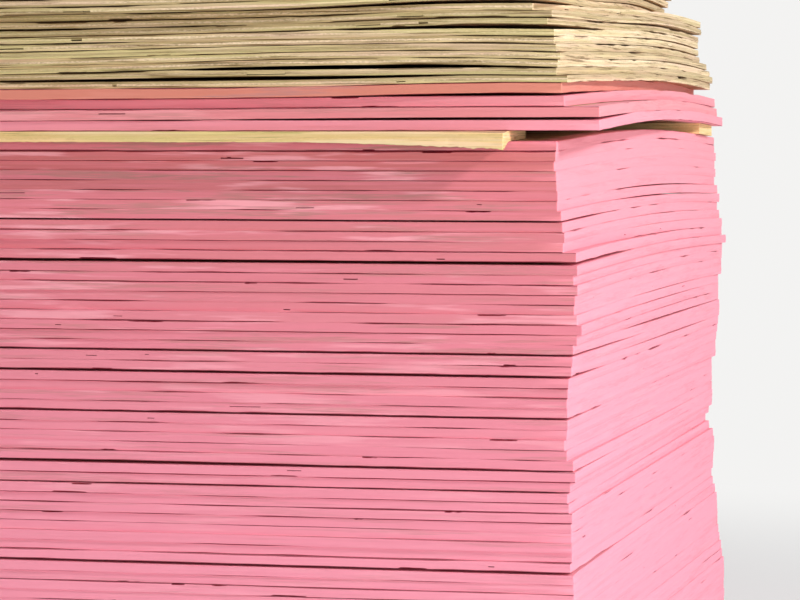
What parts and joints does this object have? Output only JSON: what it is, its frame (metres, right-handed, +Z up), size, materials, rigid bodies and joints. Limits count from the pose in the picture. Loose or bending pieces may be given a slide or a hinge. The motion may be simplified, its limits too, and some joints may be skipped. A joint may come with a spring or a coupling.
{
  "type": "stack of plywood sheets",
  "caption": "Bundled stack of full plywood sheets with pink sprayed edges, bare sheets above them on spacer strips.",
  "frame": {"origin": "middle of the stack's footprint as the sheets were first laid, on the floor under the lowest sheet", "axes": "+X along the long side of the sheets, to the right seen from the front; +Y from the front to the back; +Z up through the stack"},
  "size_m": [2.5759, 1.3757, 1.0179],
  "materials": {
    "painted_plywood": "softwood plywood with edges sprayed pink, faces bare veneer",
    "bare_plywood": "raw sawn plywood edges and bare veneer faces",
    "spacer_plywood": "raw ripped plywood strip with torn lower veneer"
  },
  "bodies": {
    "root": {"painted_sheets_01_02": "painted_plywood", "painted_sheets_03_04": "painted_plywood", "painted_sheets_05_06": "painted_plywood", "painted_sheets_07_08": "painted_plywood", "painted_sheets_09_10": "painted_plywood", "painted_sheets_11_12": "painted_plywood", "painted_sheets_13_14": "painted_plywood", "painted_sheets_15_16": "painted_plywood", "painted_sheets_17_18": "painted_plywood", "painted_sheets_19_20": "painted_plywood", "painted_sheets_21_22": "painted_plywood", "painted_sheets_23_24": "painted_plywood", "painted_sheets_25_26": "painted_plywood", "painted_sheets_27_28": "painted_plywood", "painted_sheets_29_30": "painted_plywood", "painted_sheets_31_32": "painted_plywood", "painted_sheets_33_34": "painted_plywood", "painted_sheets_35_36": "painted_plywood", "painted_sheets_37_38": "painted_plywood", "painted_sheets_39_40": "painted_plywood", "painted_sheets_41_42": "painted_plywood", "painted_sheets_43_44": "painted_plywood", "painted_sheets_45_46": "painted_plywood", "painted_sheets_47_48": "painted_plywood", "painted_sheets_49_50": "painted_plywood", "painted_sheets_51_52": "painted_plywood", "painted_sheets_53_54": "painted_plywood", "painted_sheets_55_56": "painted_plywood", "painted_sheets_57_58": "painted_plywood", "painted_sheets_59_60": "painted_plywood", "painted_sheets_61_62": "painted_plywood", "painted_sheets_63_64": "painted_plywood", "painted_sheets_65_66": "painted_plywood", "upper_painted_sheet_1": "painted_plywood", "upper_painted_sheet_2": "painted_plywood", "upper_painted_sheet_3": "painted_plywood", "upper_painted_sheet_4": "painted_plywood", "bare_sheet_01": "bare_plywood", "bare_sheet_02": "bare_plywood", "bare_sheet_03": "bare_plywood", "bare_sheet_04": "bare_plywood", "bare_sheet_05": "bare_plywood", "bare_sheet_06": "bare_plywood", "bare_sheet_07": "bare_plywood", "bare_sheet_08": "bare_plywood", "bare_sheet_09": "bare_plywood", "bare_sheet_10": "bare_plywood", "bare_sheet_11": "bare_plywood", "bare_sheet_12": "bare_plywood", "bare_sheet_13": "bare_plywood", "bare_sheet_14": "bare_plywood", "front_spacer_strip": "spacer_plywood", "back_spacer_strip": "spacer_plywood"}
  },
  "joints": []
}
